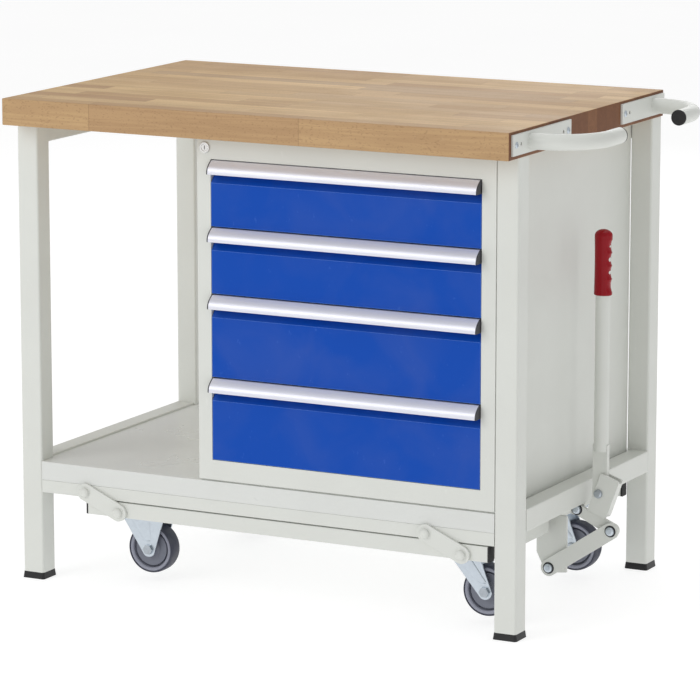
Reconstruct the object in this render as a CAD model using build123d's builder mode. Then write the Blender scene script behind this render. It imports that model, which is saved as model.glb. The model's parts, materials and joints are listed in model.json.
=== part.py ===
from build123d import *
import os
from math import asin, atan2, cos, degrees, hypot, radians, sin

os.makedirs("parts", exist_ok=True)

# Workbench with four drawers, push handles and a castor carriage that a hand lever lowers.
# Millimetres. X runs along the bench with the handles at +X, the drawers open towards -Y,
# and the feet stand at Z = 0 in the middle of the whole object's outline.

# Overall
top_length = 1000
top_depth = 660
top_thickness = 48
bench_height = 890
top_edge_round = 1.5
front_overhang = 46
end_inset = 2
rear_inset = 2

# Frame
leg_size = 42
leg_corner = 4
tube_wall = 2.5
foot_height = 12
foot_flare = 2
foot_plug = 25
upper_rail_height = 39
side_rail_width = 36
side_rail_height = 40
side_rail_top = 226
shelf_top = 222
shelf_sheet = 2
shelf_lip = 34
fixed_rail_height = 24
cross_rail_depth = 20
rear_rail_inset = 20

# Cabinet and drawers
cabinet_width = 582
cabinet_depth = 570
cabinet_sheet = 1.5
stile_width = 27
top_frame = 41
opening_return = 18
plinth_gap = 3
plinth_setback = 5
drawer_heights = [150, 150, 120, 120]
drawer_gap = 2
front_thickness = 2
grip_height = 24
grip_reach = 18
grip_wall = 3
recess_height = 17
recess_depth = 15
box_clearance = 38
box_wall = 1.5
box_depth = 540
box_lift = 12
box_above_front = 28
slide_clearance = 0.4
slide_length = 520
slide_sizes = [36, 30, 24]
slide_thickness = 5
slide_above_floor = 45
lock_radius = 9.5
lock_length = 24
lock_inset = 16
lock_drop = 21
lock_proud = 2.5
lock_ring = 3

# Push handles
handle_tube = 28
handle_wall = 2
handle_reach = 108.5
handle_bend = 90
handle_plate = 36
plate_rise = 7
plate_thickness = 4
front_plate_start = 9
front_plate_length = 236
front_tube_start = 80
front_tube_end = 213
rear_plate_start = 466
rear_plate_length = 189
rear_tube_start = 608
rear_tube_end = 475
handle_cap_plug = 12
handle_cap_flange = 3
screw_inset = 13
spare_hole_inset = 32
screw_radius = 3
screw_head_radius = 6
screw_head_height = 3
screw_length = 34

# Castor carriage: height under the fixed rails, length and links
carriage_rail_height = 28
carriage_gap = 2
carriage_left = 138
carriage_right = 53
end_cap_flange = 3.5
end_cap_plug = 15
cross_member_width = 104
cross_member_wall = 3
stub_length = 234
link_reach = 69
link_drop = 31
link_width = 32
link_thickness = 5
link_gap = 0.5
left_link_inset = 138
right_link_inset = 174
link_pivot_height = 11
bolt_radius = 5
bolt_head_radius = 8
bolt_head_height = 6
bolt_reach = 10
nut_radius = 8
nut_height = 6
bolt_end = 2
running_clearance = 0.08
hole_clearance = 0.1

# Castors
wheel_radius = 46
wheel_width = 32
tyre_depth = 9
tyre_round = 3.6
hub_radius = 15
hub_width = 36
disc_width = 20
rim_inset = 2
wheel_axle_height = 60
axle_radius = 6
axle_head_radius = 9.5
axle_head_height = 5
castor_plate_length = 98
castor_plate_width = 84
castor_plate_thickness = 3
castor_spread = 370
fixed_castor_inset = 208
fixed_offset = 14
swivel_castor_inset = 134
swivel_trail = 36
fork_sheet = 3
fork_gap = 3
fork_eye = 14
crown_back = 36
crown_front = 25
swivel_head_radius = 30
swivel_head_height = 7
swivel_gap = 0.3
kingpin_radius = 7
kingpin_nut_radius = 10
kingpin_nut_height = 3.7
castor_bolt_radius = 4
castor_bolt_head = 6.5
castor_bolt_head_height = 5
castor_bolt_reach = 6
castor_bolt_spacing_x = 78
castor_bolt_spacing_y = 60

# Lift lever, in the middle of the depth
crank_inset = 13
crank_rise = 1
crank_arm_widths = [19, 24]
crank_arm_thickness = 6
knuckle_dx = 43
knuckle_dz = 33.5
channel_width = 38
channel_length = 74
channel_sheet = 4
channel_tilt = 20
channel_offset = 10
channel_corner = 5
lobe_overlap = 8
lever_tang = 28
tang_thickness = 10
lever_tube = 26
lever_tube_wall = 2
tube_bottom = 76
tube_lap = 12
lever_length = 473.5
lever_grip_length = 117
lever_grip_width = 33
lever_grip_thickness = 29
lever_grip_end = 14.5
lever_grip_round = 9
strut_run = 119
strut_fall = 80
strut_width = 30
strut_thickness = 5
bracket_thickness = 5
bracket_margin = 32.5
bracket_flange = 60
crank_bracket_inner = 15
crank_bracket_outer = 11
crank_bracket_drop = 12

# Places worked out from the sizes above
handle_extent = handle_reach + handle_tube / 2
x_left = -(top_length + handle_extent) / 2
x_right = x_left + top_length
y_front = -top_depth / 2
y_back = top_depth / 2
z_under = bench_height - top_thickness
leg_face_left = x_left + end_inset
leg_face_right = x_right - end_inset
leg_face_front = y_front + front_overhang
leg_face_back = y_back - rear_inset
leg_places = {
    "leg_front_left": (leg_face_left + leg_size / 2, leg_face_front + leg_size / 2),
    "leg_front_right": (leg_face_right - leg_size / 2, leg_face_front + leg_size / 2),
    "leg_rear_left": (leg_face_left + leg_size / 2, leg_face_back - leg_size / 2),
    "leg_rear_right": (leg_face_right - leg_size / 2, leg_face_back - leg_size / 2),
}
bay_left = leg_face_left + leg_size
bay_right = leg_face_right - leg_size
bay_front = leg_face_front + leg_size
bay_back = leg_face_back - leg_size
front_rail_y = leg_face_front + cross_rail_depth / 2
rear_rail_y = leg_face_back - rear_rail_inset - cross_rail_depth / 2
rear_rail_face = rear_rail_y + cross_rail_depth / 2
fixed_rail_top = shelf_top - shelf_lip
fixed_rail_bottom = fixed_rail_top - fixed_rail_height
carriage_top = fixed_rail_bottom - carriage_gap
carriage_bottom = carriage_top - carriage_rail_height
upper_pivot_z = fixed_rail_bottom + link_pivot_height
lower_pivot_z = upper_pivot_z - link_drop


def keep(piece, label):
    """Labels a finished piece and writes its file."""
    piece.label = label
    export_step(piece, f"parts/{label}.step")


def block(low, high):
    """A plain block between two corners."""
    with BuildPart() as made:
        with BuildSketch(Plane(((low[0] + high[0]) / 2, (low[1] + high[1]) / 2, low[2]))):
            Rectangle(high[0] - low[0], high[1] - low[1])
        extrude(amount=high[2] - low[2])
    return made.part


def tube_along(start, direction, length, width, height, wall, corner=2.0):
    """A rectangular tube from start along X, Y or Z; width lies across, height upright."""
    across = (0, 1, 0) if direction == (1, 0, 0) else (1, 0, 0)
    with BuildPart() as made:
        with BuildSketch(Plane(origin=start, x_dir=across, z_dir=direction)):
            RectangleRounded(width, height, corner)
            inner_corner = max(corner - wall, 0.4)
            RectangleRounded(width - 2 * wall, height - 2 * wall, inner_corner, mode=Mode.SUBTRACT)
        extrude(amount=length)
    return made.part


def pin_along_y(x, z, y_start, y_end, radius):
    """A round pin or hole along Y."""
    with BuildPart() as made:
        with BuildSketch(Plane(origin=(x, y_start, z), x_dir=(1, 0, 0), z_dir=(0, 1, 0))):
            Circle(radius)
        extrude(amount=y_end - y_start)
    return made.part


def pivot_bolt(x, z, seat, tip, nut_seat=None):
    """A domed bolt along Y: its head stands on seat, its shank runs to tip, with a hex nut."""
    way = 1 if tip > seat else -1
    with BuildPart() as made:
        with BuildSketch(Plane(origin=(x, seat, z), x_dir=(1, 0, 0), z_dir=(0, -way, 0))):
            Circle(bolt_head_radius)
        extrude(amount=bolt_head_height)
        outer = made.faces().sort_by(Axis.Y)[0 if way > 0 else -1]
        fillet(outer.edges(), bolt_head_height * 0.7)
        with BuildSketch(Plane(origin=(x, seat, z), x_dir=(1, 0, 0), z_dir=(0, way, 0))):
            Circle(bolt_radius)
        extrude(amount=abs(tip - seat))
        if nut_seat is not None:
            with BuildSketch(Plane(origin=(x, nut_seat, z), x_dir=(1, 0, 0), z_dir=(0, way, 0))):
                RegularPolygon(nut_radius, 6)
            extrude(amount=nut_height)
    return made.part


def flat_bar(first, second, y_low, thickness, widths, hole_radius):
    """A flat bar in the XZ plane with a round end and a hole at each of two pivots."""
    run = (second[0] - first[0], second[1] - first[1])
    length = hypot(*run)
    middle = ((first[0] + second[0]) / 2, y_low, (first[1] + second[1]) / 2)
    with BuildPart() as made:
        with BuildSketch(Plane(origin=middle, x_dir=(run[0], 0, run[1]), z_dir=(0, 1, 0))):
            for x, width in zip((-length / 2, length / 2), widths):
                with Locations((x, 0)):
                    Circle(width / 2)
            make_hull()
            with Locations((-length / 2, 0), (length / 2, 0)):
                Circle(hole_radius, mode=Mode.SUBTRACT)
        extrude(amount=thickness)
    return made.part


# ---- Worktop and frame ----

plate_centre_z = z_under + plate_rise + handle_plate / 2
plates = {
    "push_handle_front": (front_plate_start, front_plate_length, front_tube_start, front_tube_end),
    "push_handle_rear": (rear_plate_start, rear_plate_length, rear_tube_start, rear_tube_end),
}
screw_places = []
spare_holes = []
for start, length, _, _ in plates.values():
    screw_places.append(y_front + start + screw_inset)
    screw_places.append(y_front + start + length - screw_inset)
    spare_holes.append(y_front + start + spare_hole_inset)
spare_holes.append(y_front + front_plate_start + front_plate_length - spare_hole_inset)

with BuildPart() as worktop:
    with BuildSketch(Plane(((x_left + x_right) / 2, 0, z_under))):
        Rectangle(top_length, top_depth)
    extrude(amount=top_thickness)
    fillet(worktop.edges(), top_edge_round)
    for y in screw_places:
        with BuildSketch(Plane(origin=(x_right, y, plate_centre_z), z_dir=(-1, 0, 0))):
            Circle(screw_radius + hole_clearance)
        extrude(amount=screw_length + 1, mode=Mode.SUBTRACT)
keep(worktop.part, "worktop")

for name, (x, y) in leg_places.items():
    with BuildPart() as leg:
        with BuildSketch(Plane((x, y, foot_height))):
            RectangleRounded(leg_size, leg_size, leg_corner)
            inner = leg_size - 2 * tube_wall
            RectangleRounded(inner, inner, leg_corner - tube_wall, mode=Mode.SUBTRACT)
        extrude(amount=z_under - foot_height)
    keep(leg.part, name)

with BuildPart() as feet:
    for x, y in leg_places.values():
        with BuildSketch(Plane((x, y, 0))):
            side = leg_size + 2 * foot_flare
            RectangleRounded(side, side, leg_corner + foot_flare / 2)
        extrude(amount=foot_height, taper=degrees(atan2(foot_flare, foot_height)))
        with BuildSketch(Plane((x, y, foot_height))):
            side = leg_size - 2 * tube_wall - 2 * hole_clearance
            RectangleRounded(side, side, leg_corner - tube_wall + hole_clearance)
        extrude(amount=foot_plug)
keep(feet.part, "leg_feet")

upper_rail_z = z_under - upper_rail_height / 2
with BuildPart() as upper_rails:
    start = (leg_face_left + side_rail_width / 2, bay_front, upper_rail_z)
    length = bay_back - bay_front
    add(tube_along(start, (0, 1, 0), length, side_rail_width, upper_rail_height, tube_wall))
    start = (bay_left, rear_rail_y, upper_rail_z)
    length = bay_right - bay_left
    add(tube_along(start, (1, 0, 0), length, cross_rail_depth, upper_rail_height, tube_wall))
keep(upper_rails.part, "upper_rails")

side_rail_z = side_rail_top - side_rail_height / 2
with BuildPart() as side_rails:
    for x in (leg_face_left + side_rail_width / 2, leg_face_right - side_rail_width / 2):
        start = (x, bay_front, side_rail_z)
        add(tube_along(start, (0, 1, 0), bay_back - bay_front, side_rail_width, side_rail_height, tube_wall))
keep(side_rails.part, "lower_side_rails")

with BuildPart() as shelf:
    low = (bay_left, leg_face_front, shelf_top - shelf_sheet)
    add(block(low, (bay_right, rear_rail_face, shelf_top)))
    low = (leg_face_left + side_rail_width, bay_front, shelf_top - shelf_sheet)
    add(block(low, (bay_right, bay_back, shelf_top)))
    for y in (leg_face_front, rear_rail_face - shelf_sheet):
        low = (bay_left, y, fixed_rail_top)
        add(block(low, (bay_right, y + shelf_sheet, shelf_top - shelf_sheet)))
    front_edge = shelf.edges().filter_by(Axis.X).group_by(Axis.Z)[-1].sort_by(Axis.Y)[0]
    fillet(front_edge, shelf_sheet * 0.9)
keep(shelf.part, "shelf")

# Each link turns about a bolt in the fixed rail and carries a bolt in the carriage rail.
link_places = {
    "link_front_left": (x_left + left_link_inset, leg_face_front - link_gap, -1),
    "link_front_right": (x_right - right_link_inset, leg_face_front - link_gap, -1),
    "link_rear_left": (x_left + left_link_inset, rear_rail_face + link_gap, 1),
    "link_rear_right": (x_right - right_link_inset, rear_rail_face + link_gap, 1),
}
with BuildPart() as fixed_rails:
    for y in (front_rail_y, rear_rail_y):
        start = (bay_left, y, (fixed_rail_top + fixed_rail_bottom) / 2)
        add(tube_along(start, (1, 0, 0), bay_right - bay_left, cross_rail_depth, fixed_rail_height, tube_wall))
    for x, face, side in link_places.values():
        depth = link_gap + tube_wall + 1
        hole = pin_along_y(x, upper_pivot_z, face, face - side * depth, bolt_radius + hole_clearance)
        add(hole, mode=Mode.SUBTRACT)
keep(fixed_rails.part, "fixed_rails")

# ---- Cabinet ----

cabinet_right_x = bay_right
cabinet_left_x = cabinet_right_x - cabinet_width
cabinet_back_y = leg_face_front + cabinet_depth
opening_left = cabinet_left_x + stile_width
opening_right = cabinet_right_x - stile_width
opening_top = z_under - top_frame
opening_bottom = opening_top - sum(drawer_heights)
inner_front = leg_face_front + cabinet_sheet
lock_x = cabinet_left_x + lock_inset
lock_z = z_under - lock_drop

with BuildPart() as cabinet:
    add(block((cabinet_left_x, leg_face_front, shelf_top), (cabinet_right_x, cabinet_back_y, z_under)))
    low = (cabinet_left_x + cabinet_sheet, inner_front, shelf_top + cabinet_sheet + plinth_gap)
    high = (cabinet_right_x - cabinet_sheet, cabinet_back_y - cabinet_sheet, z_under - cabinet_sheet)
    add(block(low, high), mode=Mode.SUBTRACT)
    ring = cabinet_sheet
    low = (opening_left - ring, inner_front, opening_bottom - ring)
    add(block(low, (opening_right + ring, leg_face_front + opening_return, opening_top + ring)))
    low = (opening_left, leg_face_front, opening_bottom)
    high = (opening_right, leg_face_front + opening_return, opening_top)
    add(block(low, high), mode=Mode.SUBTRACT)
    low = (cabinet_left_x, leg_face_front, shelf_top)
    high = (cabinet_right_x, leg_face_front + plinth_setback, shelf_top + plinth_gap)
    add(block(low, high), mode=Mode.SUBTRACT)
    lock_hole = lock_radius + hole_clearance
    add(pin_along_y(lock_x, lock_z, leg_face_front, inner_front, lock_hole), mode=Mode.SUBTRACT)
keep(cabinet.part, "cabinet_shell")



def lock_plane(depth):
    """A plane across the lock at a depth behind the cabinet's face."""
    return Plane(origin=(lock_x, leg_face_front + depth, lock_z), x_dir=(1, 0, 0), z_dir=(0, 1, 0))


with BuildPart() as lock_housing:
    with BuildSketch(lock_plane(-lock_proud)):
        Circle(lock_radius)
        Circle(lock_radius - lock_ring, mode=Mode.SUBTRACT)
    extrude(amount=lock_length)
keep(lock_housing.part, "lock_housing")

key_depth = 8
cam_length = 10
cam_thickness = 3
with BuildPart() as lock_cylinder:
    with BuildSketch(lock_plane(0.5 - lock_proud)):
        Circle(lock_radius - lock_ring - running_clearance)
    extrude(amount=lock_length + lock_proud - 0.5)
    with BuildSketch(lock_plane(0.5 - lock_proud)):
        Rectangle(1.4, 7)
    extrude(amount=key_depth, mode=Mode.SUBTRACT)
    with BuildSketch(lock_plane(lock_length)):
        SlotCenterPoint((0, 0), (0, cam_length), 8)
    extrude(amount=cam_thickness)
keep(lock_cylinder.part, "lock_cylinder")

# The slides: a fixed member on each wall, a middle member and a member on the drawer box.
wall_left = cabinet_left_x + cabinet_sheet
wall_right = cabinet_right_x - cabinet_sheet
box_left = wall_left + box_clearance
box_right = wall_right - box_clearance
fixed_member = box_clearance - 2 * slide_thickness - 2 * slide_clearance
slide_start = leg_face_front + opening_return + 4
drawer_floors = [opening_bottom + sum(drawer_heights[:i]) for i in range(len(drawer_heights))]


def slide_pair(height, near, far, z_middle):
    """The left and right members of one slide, between near and far from each wall."""
    with BuildPart() as made:
        for x_low, x_high in ((wall_left + near, wall_left + far), (wall_right - far, wall_right - near)):
            low = (x_low, slide_start, z_middle - height / 2)
            add(block(low, (x_high, slide_start + slide_length, z_middle + height / 2)))
    return made.part


with BuildPart() as fixed_members:
    for floor in drawer_floors:
        add(slide_pair(slide_sizes[0], 0, fixed_member, floor + slide_above_floor))
keep(fixed_members.part, "fixed_slide_members")

for number, (floor, height) in enumerate(zip(drawer_floors, drawer_heights), start=1):
    slide_z = floor + slide_above_floor
    near = fixed_member + slide_clearance
    middle = slide_pair(slide_sizes[1], near, near + slide_thickness, slide_z)
    keep(middle, f"slide_middle_{number}")

    # An open tray that carries the inner slide members on its sides
    box_front = leg_face_front + recess_depth + front_thickness
    box_floor = floor + box_lift
    box_top = floor + height - box_above_front
    with BuildPart() as box:
        add(block((box_left, box_front, box_floor), (box_right, box_front + box_depth, box_top)))
        low = (box_left + box_wall, box_front + box_wall, box_floor + box_wall)
        high = (box_right - box_wall, box_front + box_depth - box_wall, box_top)
        add(block(low, high), mode=Mode.SUBTRACT)
        near = box_clearance - slide_thickness
        add(slide_pair(slide_sizes[2], near, box_clearance, slide_z))
    keep(box.part, f"drawer_{number}_box")

    # A folded front: flat face, a recess for the fingers under the grip, and a flange behind it
    z_low = floor + drawer_gap / 2
    z_high = floor + height - drawer_gap / 2
    z_fold = z_high - grip_height - recess_height
    y_face = leg_face_front
    y_back_face = y_face + recess_depth
    section = Plane(origin=(opening_left + drawer_gap / 2, 0, 0), x_dir=(0, 1, 0), z_dir=(1, 0, 0))
    with BuildPart() as front:
        with BuildSketch(section):
            with BuildLine():
                Polyline(
                    (y_face, z_low),
                    (y_face, z_fold),
                    (y_back_face - front_thickness, z_fold + recess_height),
                    (y_back_face - front_thickness, z_high),
                    (y_back_face, z_high),
                    (y_back_face, z_fold + recess_height - front_thickness),
                    (y_face + front_thickness, z_fold - front_thickness),
                    (y_face + front_thickness, z_low + front_thickness),
                    (y_back_face + front_thickness, z_low + front_thickness),
                    (y_back_face + front_thickness, z_low),
                    close=True,
                )
            make_face()
        extrude(amount=opening_right - opening_left - drawer_gap)
        for x in (opening_left + drawer_gap / 2, opening_right - drawer_gap / 2 - front_thickness):
            low = (x, y_face + front_thickness, z_low + front_thickness)
            high = (x + front_thickness, box_front, z_fold - front_thickness)
            add(block(low, high))
    keep(front.part, f"drawer_{number}_front")

    # The aluminium grip strip: convex in section, hooked over the top of the front
    with BuildPart() as grip:
        with BuildSketch(section):
            with BuildLine():
                seat = y_back_face - front_thickness
                lip = (y_face - grip_reach, z_high - grip_height)
                crown = (y_face - grip_reach * 0.55, z_high - grip_height * 0.35)
                ThreePointArc(lip, crown, (y_face + 2, z_high))
                Line((y_face + 2, z_high), (seat, z_high))
                under = z_high - grip_wall
                Line((seat, z_high), (seat, under))
                Line((seat, under), (y_face + 2, under))
                inner = (crown[0] + grip_wall * 0.73, crown[1] - grip_wall * 0.73)
                lip_back = (lip[0] + grip_wall * 0.8, lip[1])
                ThreePointArc((y_face + 2, under), inner, lip_back)
                Line(lip_back, lip)
            make_face()
        extrude(amount=opening_right - opening_left - drawer_gap)
    keep(grip.part, f"drawer_{number}_grip")

# ---- Push handles on the end of the worktop ----

with BuildPart() as handle_caps:
    for name, (start, length, tube_start, tube_end) in plates.items():
        towards = 1 if tube_end > tube_start else -1
        y_end = y_front + tube_end
        centre = (x_right + handle_reach, y_end, plate_centre_z)
        with BuildSketch(Plane(origin=centre, x_dir=(1, 0, 0), z_dir=(0, -towards, 0))):
            Circle(handle_tube / 2 - handle_wall - hole_clearance)
        extrude(amount=handle_cap_plug)
        with BuildSketch(Plane(origin=centre, x_dir=(1, 0, 0), z_dir=(0, towards, 0))):
            Circle(handle_tube / 2)
        extrude(amount=handle_cap_flange)
keep(handle_caps.part, "handle_end_caps")

for name, (start, length, tube_start, tube_end) in plates.items():
    towards = 1 if tube_end > tube_start else -1
    y_start = y_front + tube_start
    y_end = y_front + tube_end
    with BuildPart() as handle:
        low = (x_right, y_front + start, plate_centre_z - handle_plate / 2)
        high = (x_right + plate_thickness, y_front + start + length, plate_centre_z + handle_plate / 2)
        add(block(low, high))
        with BuildLine() as centreline:
            bend_x = x_right + handle_reach - handle_bend
            bend_y = y_start + towards * handle_bend
            tube_root = (x_right + plate_thickness, y_start, plate_centre_z)
            Line(tube_root, (bend_x, y_start, plate_centre_z))
            arc = RadiusArc(
                (bend_x, y_start, plate_centre_z),
                (x_right + handle_reach, bend_y, plate_centre_z),
                -towards * handle_bend,
            )
            Line(arc @ 1, (x_right + handle_reach, y_end, plate_centre_z))
        with BuildSketch(Plane(origin=tube_root, z_dir=(1, 0, 0))):
            Circle(handle_tube / 2)
            Circle(handle_tube / 2 - handle_wall, mode=Mode.SUBTRACT)
        sweep(path=centreline.line)
        for y in screw_places + spare_holes:
            with BuildSketch(Plane(origin=(x_right, y, plate_centre_z), z_dir=(1, 0, 0))):
                Circle(screw_radius + hole_clearance)
            extrude(amount=plate_thickness, mode=Mode.SUBTRACT)
    keep(handle.part, name)

with BuildPart() as handle_screws:
    for y in screw_places:
        seat = x_right + plate_thickness
        with BuildSketch(Plane(origin=(seat, y, plate_centre_z), z_dir=(1, 0, 0))):
            Circle(screw_head_radius)
        extrude(amount=screw_head_height)
        with BuildSketch(Plane(origin=(seat, y, plate_centre_z), z_dir=(-1, 0, 0))):
            Circle(screw_radius)
        extrude(amount=screw_length)
keep(handle_screws.part, "handle_screws")

# ---- Castor carriage ----

carriage_x0 = x_left + carriage_left
carriage_x1 = x_right - carriage_right
carriage_z = (carriage_top + carriage_bottom) / 2
fixed_x = x_left + fixed_castor_inset
fixed_wheel_x = fixed_x + fixed_offset
swivel_x = x_right - swivel_castor_inset
wheel_x = swivel_x + swivel_trail
member_right = swivel_x + cross_member_width / 2
castor_rows = (-castor_spread / 2, castor_spread / 2)
lower_pivots = {name: (x + link_reach, face, side) for name, (x, face, side) in link_places.items()}

with BuildPart() as carriage_caps:
    for y in (front_rail_y, rear_rail_y):
        for x, way in ((carriage_x0, 1), (carriage_x1, -1)):
            with BuildSketch(Plane(origin=(x, y, carriage_z), x_dir=(0, 1, 0), z_dir=(way, 0, 0))):
                RectangleRounded(cross_rail_depth, carriage_rail_height, 2)
            extrude(amount=end_cap_flange)
            width = cross_rail_depth - 2 * tube_wall - 4 * hole_clearance
            height = carriage_rail_height - 2 * tube_wall - 4 * hole_clearance
            seat = (x + way * end_cap_flange, y, carriage_z)
            with BuildSketch(Plane(origin=seat, x_dir=(0, 1, 0), z_dir=(way, 0, 0))):
                Rectangle(width, height)
            extrude(amount=end_cap_plug)
keep(carriage_caps.part, "carriage_end_caps")

castor_centres = [(x, y) for x in (fixed_x, swivel_x) for y in castor_rows]
bolt_spots = [
    (x + sx * castor_bolt_spacing_x / 2, y + sy * castor_bolt_spacing_y / 2)
    for x, y in castor_centres
    for sx in (-1, 1)
    for sy in (-1, 1)
]
with BuildPart() as carriage_frame:
    for y in (front_rail_y, rear_rail_y):
        start = (carriage_x0 + end_cap_flange, y, carriage_z)
        length = carriage_x1 - carriage_x0 - 2 * end_cap_flange
        add(tube_along(start, (1, 0, 0), length, cross_rail_depth, carriage_rail_height, tube_wall))
    for x in (fixed_x, swivel_x):
        start = (x, front_rail_y + cross_rail_depth / 2, carriage_z)
        length = rear_rail_y - front_rail_y - cross_rail_depth
        add(tube_along(start, (0, 1, 0), length, cross_member_width, carriage_rail_height, cross_member_wall))
    stub_width = carriage_x1 - end_cap_flange - member_right
    start = (member_right + stub_width / 2, front_rail_y + cross_rail_depth / 2, carriage_z)
    add(tube_along(start, (0, 1, 0), stub_length, stub_width, carriage_rail_height, tube_wall))
    for x, face, side in lower_pivots.values():
        depth = link_gap + tube_wall + 1
        hole = pin_along_y(x, lower_pivot_z, face, face - side * depth, bolt_radius + hole_clearance)
        add(hole, mode=Mode.SUBTRACT)
    with BuildSketch(Plane.XY.offset(carriage_bottom)):
        with Locations(*bolt_spots):
            Circle(castor_bolt_radius + hole_clearance)
    extrude(amount=cross_member_wall, mode=Mode.SUBTRACT)
keep(carriage_frame.part, "carriage_frame")

fork_inner = wheel_width / 2 + fork_gap


def castor_plate(x, y):
    """The mounting plate of one castor, under the carriage."""
    with BuildPart() as made:
        with BuildSketch(Plane((x, y, carriage_bottom - castor_plate_thickness))):
            RectangleRounded(castor_plate_length, castor_plate_width, 6)
            with GridLocations(castor_bolt_spacing_x, castor_bolt_spacing_y, 2, 2):
                Circle(castor_bolt_radius + hole_clearance, mode=Mode.SUBTRACT)
        extrude(amount=castor_plate_thickness)
    return made.part


def fork_cheeks(x_low, x_high, x_axle, y, z_top):
    """Two cheeks either side of the wheel, from x_low..x_high at z_top down to an eye on the axle."""
    eye = []
    for x_top, way in ((x_low, -1), (x_high, 1)):
        across = way * (x_top - x_axle)
        drop = z_top - wheel_axle_height
        turn = atan2(drop, across) - asin(fork_eye / hypot(across, drop))
        eye.append((x_axle + way * fork_eye * sin(turn), wheel_axle_height - fork_eye * cos(turn)))
    with BuildPart() as made:
        for y_low in (y - fork_inner - fork_sheet, y + fork_inner):
            with BuildSketch(Plane(origin=(0, y_low, 0), x_dir=(1, 0, 0), z_dir=(0, -1, 0))):
                with BuildLine():
                    Polyline(eye[0], (x_low, z_top), (x_high, z_top), eye[1])
                    ThreePointArc(eye[1], (x_axle, wheel_axle_height - fork_eye), eye[0])
                make_face()
                with Locations((x_axle, wheel_axle_height)):
                    Circle(axle_radius + hole_clearance, mode=Mode.SUBTRACT)
            extrude(amount=-fork_sheet)
    return made.part


def axle_bolt(x, y):
    """The wheel axle, with a head and a nut outside the cheeks."""
    reach = fork_inner + fork_sheet
    with BuildPart() as made:
        end = reach + axle_head_height
        add(pin_along_y(x, wheel_axle_height, y - end, y + end, axle_radius))
        for y_low in (y - end, y + reach):
            with BuildSketch(Plane(origin=(x, y_low, wheel_axle_height), x_dir=(1, 0, 0), z_dir=(0, 1, 0))):
                RegularPolygon(axle_head_radius, 6)
            extrude(amount=axle_head_height)
    return made.part


plate_bottom = carriage_bottom - castor_plate_thickness
half_plate = castor_plate_length / 2
with BuildPart() as fixed_forks:
    for y in castor_rows:
        add(castor_plate(fixed_x, y))
        add(fork_cheeks(fixed_x - half_plate, fixed_x + half_plate, fixed_wheel_x, y, plate_bottom))
keep(fixed_forks.part, "fixed_castor_forks")

with BuildPart() as castor_bolts:
    with BuildSketch(Plane.XY.offset(plate_bottom - castor_bolt_head_height)):
        with Locations(*bolt_spots):
            RegularPolygon(castor_bolt_head, 6)
    extrude(amount=castor_bolt_head_height)
    with BuildSketch(Plane.XY.offset(plate_bottom)):
        with Locations(*bolt_spots):
            Circle(castor_bolt_radius)
    extrude(amount=castor_plate_thickness + cross_member_wall + castor_bolt_reach)
    for y in castor_rows:
        add(axle_bolt(fixed_wheel_x, y))
keep(castor_bolts.part, "castor_bolts")

head_bottom = plate_bottom - swivel_head_height
fork_top = head_bottom - swivel_gap
with BuildPart() as swivel_heads:
    for y in castor_rows:
        add(castor_plate(swivel_x, y))
        with BuildSketch(Plane((swivel_x, y, head_bottom))):
            Circle(swivel_head_radius)
        extrude(amount=swivel_head_height)
        nut_top = fork_top - fork_sheet - swivel_gap
        with BuildSketch(Plane((swivel_x, y, nut_top))):
            Circle(kingpin_radius)
        extrude(amount=head_bottom - nut_top)
        with BuildSketch(Plane((swivel_x, y, nut_top - kingpin_nut_height))):
            Circle(kingpin_nut_radius)
        extrude(amount=kingpin_nut_height)
keep(swivel_heads.part, "swivel_castor_heads")

castor_names = ("front", "rear")
crown_low = swivel_x - crown_back
crown_high = swivel_x + crown_front
for name, y in zip(castor_names, castor_rows):
    with BuildPart() as fork:
        with BuildSketch(Plane((swivel_x, y, fork_top - fork_sheet))):
            Circle(swivel_head_radius)
            with Locations(((crown_low + crown_high) / 2 - swivel_x, 0)):
                Rectangle(crown_high - crown_low, 2 * (fork_inner + fork_sheet))
            Circle(kingpin_radius + running_clearance, mode=Mode.SUBTRACT)
        extrude(amount=fork_sheet)
        add(fork_cheeks(crown_low, crown_high, wheel_x, y, fork_top))
    keep(fork.part, f"swivel_fork_{name}")
    keep(axle_bolt(wheel_x, y), f"swivel_axle_{name}")


def castor_wheel(x, y):
    """A tyre on a dished hub, as two solids."""
    with BuildPart() as tyre:
        with BuildSketch(Plane(origin=(x, y, wheel_axle_height), x_dir=(0, 1, 0), z_dir=(1, 0, 0))):
            with Locations((0, wheel_radius - tyre_depth / 2)):
                RectangleRounded(wheel_width, tyre_depth, tyre_round)
        revolve(axis=Axis((x, y, wheel_axle_height), (0, 1, 0)))
    inner = wheel_radius - tyre_depth
    with BuildPart() as hub:
        with BuildSketch(Plane(origin=(x, y, wheel_axle_height), x_dir=(0, 1, 0), z_dir=(1, 0, 0))):
            bore = axle_radius + running_clearance
            rim = wheel_width / 2 - rim_inset
            with BuildLine():
                Polyline(
                    (-hub_width / 2, bore),
                    (hub_width / 2, bore),
                    (hub_width / 2, hub_radius),
                    (disc_width / 2, hub_radius + rim_inset),
                    (disc_width / 2, inner - 3 * rim_inset),
                    (rim, inner - rim_inset),
                    (rim, inner),
                    (-rim, inner),
                    (-rim, inner - rim_inset),
                    (-disc_width / 2, inner - 3 * rim_inset),
                    (-disc_width / 2, hub_radius + rim_inset),
                    (-hub_width / 2, hub_radius),
                    close=True,
                )
            make_face()
        revolve(axis=Axis((x, y, wheel_axle_height), (0, 1, 0)))
    return Compound(children=[tyre.part, hub.part])


for side, x in (("left", fixed_wheel_x), ("right", wheel_x)):
    for name, y in zip(castor_names, castor_rows):
        keep(castor_wheel(x, y), f"wheel_{name}_{side}")

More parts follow.
